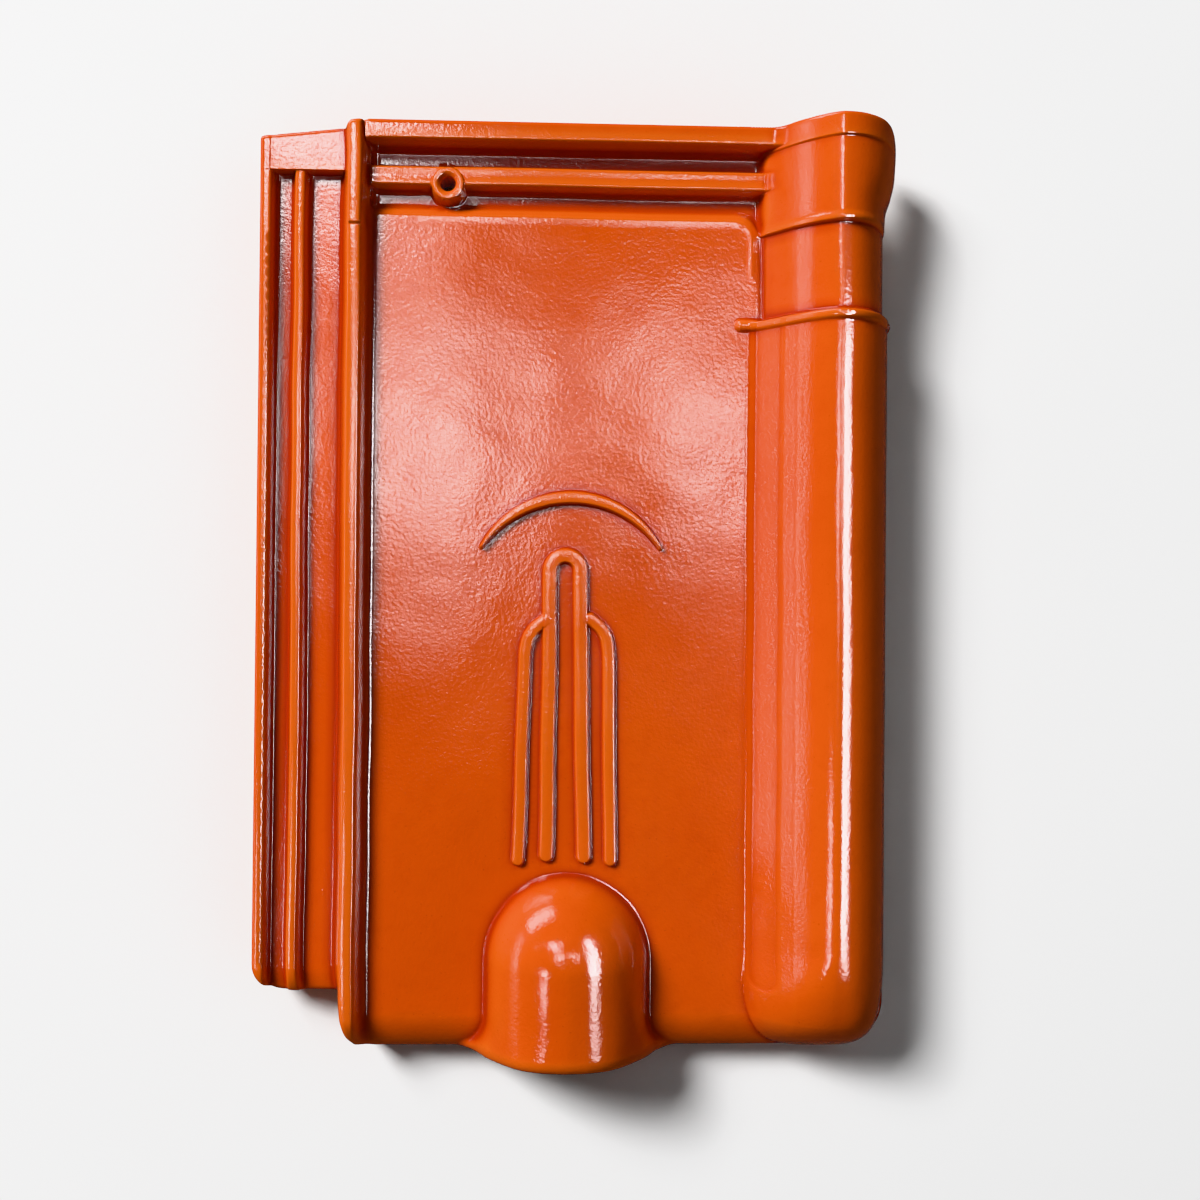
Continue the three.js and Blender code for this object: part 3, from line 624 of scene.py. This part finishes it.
# underside
low = Cloud()
low.add(loop, 0.5, False)
low.add(bore_loop, 0.5, False)
for k, depth in enumerate((0.3, 0.8, 1.5)):
    ring_points = loop - loop_out * depth
    good = outline_distance(ring_points[:, 0], ring_points[:, 1]) > depth * 0.93
    low.add(ring_points[good][::1 if k == 0 else 1], 0.25 if k < 2 else 0.9, k > 0)
for r in np.concatenate([np.arange(0.001, 15, 2.2), np.arange(15.4, 24, 0.6)]):
    n = max(1, int(math.pi * r / 1.6))
    a = np.linspace(0, math.pi, n + 1)
    low.add(np.stack([r * np.cos(a), DOME_Y + r * np.sin(a)], 1), 0.4)
dxs = np.concatenate([np.arange(0, 15, 2.2), np.arange(15.4, 24, 0.6)])
low.add(lattice(np.concatenate([-dxs[::-1], dxs[1:]]), np.concatenate([np.arange(-138.5, -170.5, -2.2)])), 0.4)
hx = np.concatenate([np.arange(77.5, 84, 0.55), np.arange(84.6, 108, 2.0), np.arange(108.4, 114.6, 0.5)])
hy = np.concatenate([np.arange(-163, -130, 1.1), np.arange(-129, 174, 5.0)])
low.add(lattice(hx, hy), 0.4)
lip_ys = np.arange(-163, -156.6, 0.55)
low.add(lattice(np.arange(-84, 119, 3.0), lip_ys), 0.5)
for cx in (-38.0, 38.0):
    nx = np.concatenate([np.arange(-20.4, -15.8, 0.5), np.arange(-15, 15.5, 3.0), np.arange(16, 20.6, 0.5)]) + cx
    ny = np.concatenate([np.arange(-8.6, -4.6, 0.45), np.arange(-4, 4.5, 2.0), np.arange(4.8, 8.8, 0.45)]) + 165.5
    low.add(lattice(nx, ny), 0.4)
low.add(lattice(np.arange(-105, -98, 1.2), np.arange(-148, 150, 6.0)), 0.8)
low.add(lattice(np.arange(65, 71.5, 1.2), np.arange(-148, 150, 6.0)), 0.8)
low.add(lattice(np.arange(-104, 70, 6.0), np.concatenate([np.arange(-151, -144, 1.2), np.arange(145, 151.5, 1.2)])), 0.8)
low.add(lattice(np.arange(-114, 120, 4.2), np.arange(-170, 173, 4.2)), 1.8)
bv, bf, b_ring, b_bore = triangulate(low)

# ------------------------------------------------------------------ the mesh
td = outline_distance(tv[:, 0], tv[:, 1])
bd = outline_distance(bv[:, 0], bv[:, 1])
td[t_ring] = 0.0
bd[b_ring] = 0.0
tz = top_z(tv[:, 0], tv[:, 1], td)
bz = under_z(bv[:, 0], bv[:, 1], bd)


def slopes(f, x, y, d, h=0.04):
    """Surface normals by differences; the distance is taken to change with the outline's own gradient."""
    def at(dx, dy):
        dd = d.copy()
        m = (d < 6)
        if m.any():
            dd[m] = outline_distance(x[m] + dx, y[m] + dy)
        return f(x + dx, y + dy, dd)
    gx = (at(h, 0) - at(-h, 0)) / (2 * h)
    gy = (at(0, h) - at(0, -h)) / (2 * h)
    n = np.stack([-gx, -gy, np.ones_like(gx)], 1)
    return n / np.linalg.norm(n, axis=1)[:, None]


tn = slopes(top_z, tv[:, 0], tv[:, 1], td)
bn = -slopes(under_z, bv[:, 0], bv[:, 1], bd)
tn[t_ring] = np.concatenate([loop_out, np.full((len(loop), 1), 0.12)], 1)
bn[b_ring] = np.concatenate([loop_out, np.full((len(loop), 1), -0.12)], 1)
bore_out = np.stack([-np.cos(bore_a), -np.sin(bore_a)], 1)
tn[t_bore] = np.concatenate([bore_out * 0.7, np.full((bore_n, 1), 0.7)], 1)
bn[b_bore] = np.concatenate([bore_out * 0.7, np.full((bore_n, 1), -0.7)], 1)

verts = [np.column_stack([tv, tz]), np.column_stack([bv, bz])]
normals = [tn, bn]
base_b = len(tv)
count = len(tv) + len(bv)
faces = [tf, bf[:, ::-1] + base_b]
kinds = [np.zeros(len(tf), int), np.ones(len(bf), int)]


def wall(upper, lower, out, rows, z_up, z_low, xy, outward=True):
    """Strip between two closed loops of the same length, with rows in between."""
    global count
    n = len(upper)
    lines = [upper]
    for k in range(1, rows + 1):
        s = k / (rows + 1)
        lines.append(np.arange(count, count + n))
        verts.append(np.column_stack([xy, z_up + (z_low - z_up) * s]))
        normals.append(np.concatenate([out, np.zeros((n, 1))], 1))
        count += n
    lines.append(lower)
    for a, b in zip(lines[:-1], lines[1:]):
        a1, b1 = np.roll(a, -1), np.roll(b, -1)
        q = np.concatenate([np.stack([a, b, b1], 1), np.stack([a, b1, a1], 1)])
        if not outward:
            q = q[:, ::-1]
        faces.append(q)
        kinds.append(np.zeros(len(q), int))


wall(t_ring, b_ring + base_b, loop_out, 5, tz[t_ring], bz[b_ring], tv[t_ring])
wall(t_bore, b_bore + base_b, bore_out, 4, tz[t_bore], bz[b_bore], tv[t_bore], False)
V = np.concatenate(verts)
N = np.concatenate(normals)
F = np.concatenate(faces)
K = np.concatenate(kinds)
used = np.unique(F)
renumber = np.full(len(V), -1)
renumber[used] = np.arange(len(used))
reach = np.concatenate([step(1.0, 14.0, td), step(1.0, 14.0, bd), np.zeros(len(V) - len(tv) - len(bv))])[used]
V, N, F = V[used], N[used], renumber[F]
N /= np.linalg.norm(N, axis=1)[:, None]

# the pressed form wanders a little from straight
V[:, 0] += reach * 0.22 * wander_x(V[:, 0] * 0.6, V[:, 1])
V[:, 1] += reach * 0.22 * wander_y(V[:, 0], V[:, 1] * 0.6)

P = V.copy()
P[:, 0] += SHIFT[0]
P[:, 1] += SHIFT[1]
P /= 1000.0
mesh = bpy.data.meshes.new("glazed_tile_body")
mesh.from_pydata(P, [], F)
mesh.polygons.foreach_set("material_index", K.astype(np.int32))
mesh.polygons.foreach_set("use_smooth", np.ones(len(F), bool))
mesh.update()
mesh.validate()
mesh.normals_split_custom_set_from_vertices(N.tolist())

# bend of the face: a mask for concave corners and hollows, which darkens the colour as painted shade and also stands
# for glaze pooled thick there, and a mask for convex edges where the glaze runs thin
bend = np.zeros(len(tv))
for h, share in ((0.7, 0.5), (1.8, 0.9), (4.6, 0.35)):
    ring_mean = sum(top_z(tv[:, 0] + h * math.cos(a), tv[:, 1] + h * math.sin(a), np.maximum(td, 3.0), False)
                    for a in np.arange(8) * math.pi / 4) / 8
    bend += share * (ring_mean - top_z(tv[:, 0], tv[:, 1], np.maximum(td, 3.0), False))
full = np.zeros(base_b + len(bv) + len(renumber) - base_b - len(bv))
full[:len(tv)] = bend
full = full[used]
for name, values in (("glaze_pool_and_shade", np.clip(full / 1.2, 0, 1)), ("thin", np.clip(-full / 0.9, 0, 1))):
    mesh.attributes.new(name, "FLOAT", "POINT").data.foreach_set("value", values.astype(np.float32))
tile = bpy.data.objects.new("glazed_tile_body", mesh)
bpy.context.scene.collection.objects.link(tile)
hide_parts("roof_tile")
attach(tile, "root")
print("tile", len(V), "verts", len(F), "triangles; face", len(tf), "underside", len(bf))

# ----------------------------------------------------------------- materials


class Nodes:
    """Small writer for a node tree."""

    def __init__(self, material):
        material.use_nodes = True
        self.tree = material.node_tree
        self.tree.nodes.clear()
        self.out = self.add("ShaderNodeOutputMaterial")
        self.shader = self.add("ShaderNodeBsdfPrincipled")
        self.link(self.shader.outputs["BSDF"], self.out.inputs["Surface"])
        self.place = self.add("ShaderNodeTexCoord").outputs["Object"]

    def add(self, kind, **values):
        node = self.tree.nodes.new(kind)
        for k, v in values.items():
            if k in node.inputs:
                node.inputs[k].default_value = v
            else:
                setattr(node, k, v)
        return node

    def link(self, a, b):
        self.tree.links.new(a, b)

    def scaled(self, scale):
        m = self.add("ShaderNodeMapping")
        m.inputs["Scale"].default_value = scale
        self.link(self.place, m.inputs["Vector"])
        return m.outputs["Vector"]

    def noise(self, scale, detail=2.0, rough=0.5, stretch=None, distortion=0.0):
        n = self.add("ShaderNodeTexNoise")
        n.inputs["Scale"].default_value = scale
        n.inputs["Detail"].default_value = detail
        n.inputs["Roughness"].default_value = rough
        n.inputs["Distortion"].default_value = distortion
        self.link(self.scaled(stretch) if stretch else self.place, n.inputs["Vector"])
        return n.outputs["Fac"]

    def ramp(self, fac, stops, interp="LINEAR"):
        r = self.add("ShaderNodeValToRGB")
        r.color_ramp.interpolation = interp
        e = r.color_ramp.elements
        while len(e) < len(stops):
            e.new(0.5)
        for k, (p, c) in enumerate(stops):
            e[k].position = p
            e[k].color = c if len(c) == 4 else (*c, 1)
        self.link(fac, r.inputs["Fac"])
        return r.outputs["Color"]

    def math(self, op, a, b=None, c=None):
        m = self.add("ShaderNodeMath")
        m.operation = op
        for k, v in enumerate((a, b, c)):
            if v is None:
                continue
            if isinstance(v, (int, float)):
                m.inputs[k].default_value = v
            else:
                self.link(v, m.inputs[k])
        return m.outputs[0]

    def mix(self, fac, a, b, kind="MIX"):
        m = self.add("ShaderNodeMix")
        m.data_type = "RGBA"
        m.blend_type = kind
        ins = {"f": m.inputs[0], "a": m.inputs[6], "b": m.inputs[7]}
        for key, v in (("f", fac), ("a", a), ("b", b)):
            if isinstance(v, (int, float)):
                ins[key].default_value = v
            elif isinstance(v, tuple):
                ins[key].default_value = v if len(v) == 4 else (*v, 1)
            else:
                self.link(v, ins[key])
        return m.outputs[2]

    def remap(self, v, a, b, c, d, smooth=True):
        m = self.add("ShaderNodeMapRange")
        m.interpolation_type = "SMOOTHSTEP" if smooth else "LINEAR"
        for k, val in zip((1, 2, 3, 4), (a, b, c, d)):
            m.inputs[k].default_value = val
        self.link(v, m.inputs[0])
        return m.outputs[0]


def glaze_material():
    mat = bpy.data.materials.new("orange_glaze")
    n = Nodes(mat)
    # colour: darker in corners and hollows as painted shade, partly for thick pooled glaze, lighter where the glaze
    # runs thin over edges
    cloud = n.noise(9.0, 3.0, 0.55)
    fine = n.noise(170.0, 3.0, 0.6)
    speck = n.noise(900.0, 1.0, 0.5)
    glaze_pool_and_shade = n.add("ShaderNodeAttribute", attribute_name="glaze_pool_and_shade").outputs["Fac"]
    thin = n.add("ShaderNodeAttribute", attribute_name="thin").outputs["Fac"]
    body = n.ramp(cloud, [(0.30, (0.50, 0.062, 0.0065)), (0.52, (0.54, 0.071, 0.0075)), (0.74, (0.575, 0.082, 0.0095))])
    body = n.mix(n.remap(fine, 0.42, 0.75, 0.0, 0.30), body, (0.47, 0.052, 0.004))
    # painted shade: deep red-brown mixed in by the corner-and-hollow mask, darkening recesses and the bases of ribs
    body = n.mix(n.math("MULTIPLY", glaze_pool_and_shade, 0.9), body, (0.30, 0.016, 0.0015))
    body = n.mix(n.math("MULTIPLY", thin, 0.55), body, (0.66, 0.135, 0.020))
    body = n.mix(n.remap(speck, 0.70, 0.80, 0.0, 0.35), body, (0.30, 0.035, 0.006))
    # raw clay shows low on the edge wall, where the glaze ran out
    sep = n.add("ShaderNodeSeparateXYZ")
    n.link(n.place, sep.inputs[0])
    drip = n.noise(70.0, 3.0, 0.6, (1.0, 1.0, 0.25))
    height = n.math("MULTIPLY_ADD", drip, 0.006, sep.outputs["Z"])
    geo = n.add("ShaderNodeNewGeometry")
    normal = n.add("ShaderNodeSeparateXYZ")
    n.link(geo.outputs["True Normal"], normal.inputs[0])
    side = n.remap(normal.outputs["Z"], 0.05, 0.25, 1.0, 0.0)
    bare = n.math("MULTIPLY", n.remap(height, 0.0052, 0.0062, 1.0, 0.0), side)
    clay = n.ramp(n.noise(220.0, 4.0, 0.65), [(0.3, (0.36, 0.125, 0.055)), (0.7, (0.50, 0.20, 0.095))])
    n.link(n.mix(bare, body, clay), n.shader.inputs["Base Color"])
    rough = n.remap(n.noise(30.0, 3.0, 0.6), 0.3, 0.75, 0.115, 0.155)
    rough = n.math("ADD", rough, n.math("ADD", n.math("MULTIPLY", bare, 0.6), n.math("MULTIPLY", glaze_pool_and_shade, 0.06)))
    n.link(rough, n.shader.inputs["Roughness"])
    n.shader.inputs["IOR"].default_value = 1.53
    # orange peel: a fine and a slower ripple
    peel = n.noise(760.0, 2.0, 0.6)
    slow = n.noise(150.0, 2.0, 0.5)
    mixed = n.math("ADD", n.math("MULTIPLY", peel, 1.15), n.math("MULTIPLY", slow, 0.4))
    bump = n.add("ShaderNodeBump")
    bump.inputs["Strength"].default_value = 1.0
    bump.inputs["Distance"].default_value = 0.00008
    n.link(mixed, bump.inputs["Height"])
    n.link(bump.outputs["Normal"], n.shader.inputs["Normal"])
    return mat


def clay_material():
    mat = bpy.data.materials.new("raw_clay")
    n = Nodes(mat)
    cloud = n.noise(14.0, 4.0, 0.6)
    grain = n.noise(420.0, 5.0, 0.7)
    pores = n.noise(1500.0, 2.0, 0.5)
    streak = n.noise(40.0, 3.0, 0.6, (2.4, 0.16, 1.0))
    body = n.ramp(cloud, [(0.28, (0.36, 0.130, 0.058)), (0.5, (0.45, 0.175, 0.080)), (0.75, (0.54, 0.235, 0.120))])
    body = n.mix(n.remap(grain, 0.45, 0.8, 0.0, 0.5), body, (0.60, 0.30, 0.17))
    body = n.mix(n.remap(pores, 0.62, 0.72, 0.0, 0.7), body, (0.20, 0.065, 0.030))
    body = n.mix(n.remap(streak, 0.5, 0.8, 0.0, 0.35), body, (0.62, 0.34, 0.21))
    n.link(body, n.shader.inputs["Base Color"])
    n.link(n.remap(grain, 0.3, 0.7, 0.78, 0.92), n.shader.inputs["Roughness"])
    n.shader.inputs["IOR"].default_value = 1.45
    mixed = n.math("ADD", n.math("MULTIPLY", grain, 0.5), n.math("ADD", n.math("MULTIPLY", pores, -0.35), n.math("MULTIPLY", streak, 0.8)))
    bump = n.add("ShaderNodeBump")
    bump.inputs["Strength"].default_value = 1.0
    bump.inputs["Distance"].default_value = 0.0003
    n.link(mixed, bump.inputs["Height"])
    n.link(bump.outputs["Normal"], n.shader.inputs["Normal"])
    return mat


mesh.materials.append(glaze_material())
mesh.materials.append(clay_material())

# --------------------------------------------------------------- floor, light
floor_mesh = bpy.data.meshes.new("studio_floor")
S = 4.0
floor_mesh.from_pydata([(-S, -S, 0), (S, -S, 0), (S, S, 0), (-S, S, 0)], [], [(0, 1, 2, 3)])
floor = bpy.data.objects.new("studio_floor", floor_mesh)
bpy.context.scene.collection.objects.link(floor)
fm = bpy.data.materials.new("pale_floor")
fn = Nodes(fm)
fn.link(fn.ramp(fn.noise(3.0, 2.0, 0.5), [(0.3, (0.86, 0.86, 0.86)), (0.7, (0.90, 0.90, 0.90))]), fn.shader.inputs["Base Color"])
fn.shader.inputs["Roughness"].default_value = 0.9
floor_mesh.materials.append(fm)
floor.visible_glossy = False

world = bpy.data.worlds.new("studio")
bpy.context.scene.world = world
world.use_nodes = True
world.node_tree.nodes["Background"].inputs["Color"].default_value = (1.0, 1.0, 1.0, 1)
world.node_tree.nodes["Background"].inputs["Strength"].default_value = 0.08


def area(name, at, aim, size, power, colour=(1, 1, 1), spread=180):
    data = bpy.data.lights.new(name, "AREA")
    data.shape = "RECTANGLE"
    data.size, data.size_y = size
    data.energy = power
    data.color = colour
    data.spread = math.radians(spread)
    ob = bpy.data.objects.new(name, data)
    ob.location = at
    ob.rotation_euler = (Vector(aim) - Vector(at)).to_track_quat("-Z", "Y").to_euler()
    bpy.context.scene.collection.objects.link(ob)
    return ob


def panel(name, x0, x1, y0, y1, radiance, z=1.0):
    """Overhead panel that shows only as a reflection."""
    ob = area(name, ((x0 + x1) / 2, (y0 + y1) / 2, z), ((x0 + x1) / 2, (y0 + y1) / 2, 0), (x1 - x0, y1 - y0),
              radiance * math.pi * (x1 - x0) * (y1 - y0))
    ob.rotation_euler = (0, 0, 0)
    ob.visible_diffuse = False
    return ob


def screen(name, at, size, radiance):
    """Upright panel facing the tile, seen only as a reflection."""
    ob = area(name, at, (0, 0, 0.03), size, radiance * math.pi * size[0] * size[1])
    ob.visible_diffuse = False
    return ob


key = area("key", (-1.72, 1.52, 2.04), (0, 0, 0), (1.0, 1.0), 164)
key.visible_glossy = False
# bright ceiling seen in the glaze: an arch of light with a dark middle
panel("ceiling_left_top", -0.180, -0.125, 0.265, 0.46, 7)
panel("ceiling_left", -0.187, -0.080, 0.105, 0.262, 23)
panel("ceiling_left_low", -0.183, -0.085, 0.020, 0.100, 9)
panel("ceiling_left_fade", -0.175, -0.095, -0.075, 0.015, 4)
panel("ceiling_bridge", -0.055, 0.060, 0.275, 0.325, 3.5)
panel("ceiling_right_top", 0.065, 0.20, 0.270, 0.34, 6)
panel("ceiling_right_inner", 0.062, 0.118, 0.212, 0.266, 12)
panel("ceiling_right", 0.120, 0.205, 0.120, 0.262, 22)
panel("ceiling_right_low", 0.155, 0.20, -0.03, 0.112, 5.5)
panel("ceiling_lock", -0.268, -0.240, 0.08, 0.42, 9)
panel("ceiling_cap", -0.37, -0.20, 0.465, 0.60, 45)
panel("window_right", 0.180, 0.249, -0.208, 0.164, 68, 0.35)
panel("window_right_low", 0.192, 0.255, -0.284, -0.208, 20, 0.35)
panel("window_dome", -0.62, -0.47, -0.44, -0.28, 30)
screen("window_left", (-1.7, 0.15, 0.36), (1.8, 0.62), 1.3)
screen("window_left_bar", (-1.66, 0.15, 0.42), (1.4, 0.05), 12)
screen("window_head", (-1.0, 1.6, 0.42), (1.1, 0.55), 12)

# -------------------------------------------------------------------- camera
yaw, pitch, turn = math.radians(-2.0), 0.009701, 0.008826
cam_data = bpy.data.cameras.new("camera")
cam_data.sensor_fit = "HORIZONTAL"
cam_data.sensor_width = 36.0
cam_data.lens = 40.0
cam_data.clip_start = 0.01
cam = bpy.data.objects.new("camera", cam_data)
spin = Matrix.Rotation(turn, 4, "Z") @ Matrix.Rotation(yaw, 4, "Y") @ Matrix.Rotation(pitch, 4, "X")
cam.matrix_world = Matrix.Translation((-0.00875, -0.00830, 0.52295)) @ spin
bpy.context.scene.collection.objects.link(cam)
bpy.context.scene.camera = cam

view = bpy.context.scene.view_settings
view.view_transform = "Khronos PBR Neutral"
